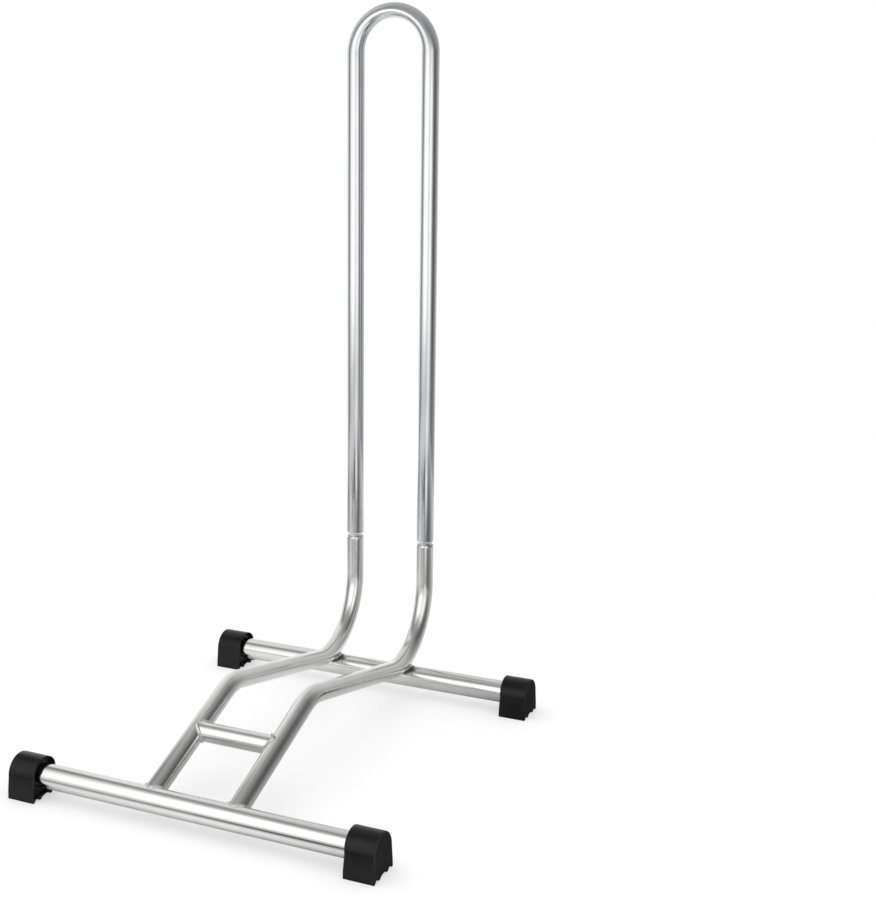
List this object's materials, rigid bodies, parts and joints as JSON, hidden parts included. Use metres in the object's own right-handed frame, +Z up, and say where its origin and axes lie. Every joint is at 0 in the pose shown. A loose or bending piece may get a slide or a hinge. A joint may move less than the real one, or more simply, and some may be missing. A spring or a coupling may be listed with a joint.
{
  "type": "bike stand",
  "caption": "Floor stand holding a bicycle by a wheel: foot tubes on plastic caps carry bent side tubes, a cross tube and a tall hoop plugged into their open ends.",
  "frame": {"origin": "on the floor, at the middle of the box around the whole stand", "axes": "+Z up, +Y from the front foot tube towards the hoop, +X to the right along the foot tubes"},
  "size_m": [0.323, 0.3964, 0.637],
  "materials": {
    "zinc_plate": "bright zinc plate on steel tube",
    "weld_bead": "plated weld bead",
    "black_plastic": "moulded, fine matte grain"
  },
  "bodies": {
    "frame": {"front_foot_tube": "zinc_plate", "rear_foot_tube": "zinc_plate", "left_side_tube": "zinc_plate", "right_side_tube": "zinc_plate", "cross_tube": "zinc_plate", "front_left_cap": "black_plastic", "front_right_cap": "black_plastic", "rear_left_cap": "black_plastic", "rear_right_cap": "black_plastic", "front_left_weld": "weld_bead", "front_right_weld": "weld_bead", "cross_left_weld": "weld_bead", "cross_right_weld": "weld_bead", "rear_left_weld": "weld_bead", "rear_right_weld": "weld_bead"},
    "lift_off_hoop": {"hoop": "zinc_plate"}
  },
  "joints": [
    {"name": "hoop_lift", "type": "slide", "parent": "frame", "child": "lift_off_hoop", "axis": [0, 0, 1], "range_m": [0, 0.05]}
  ]
}
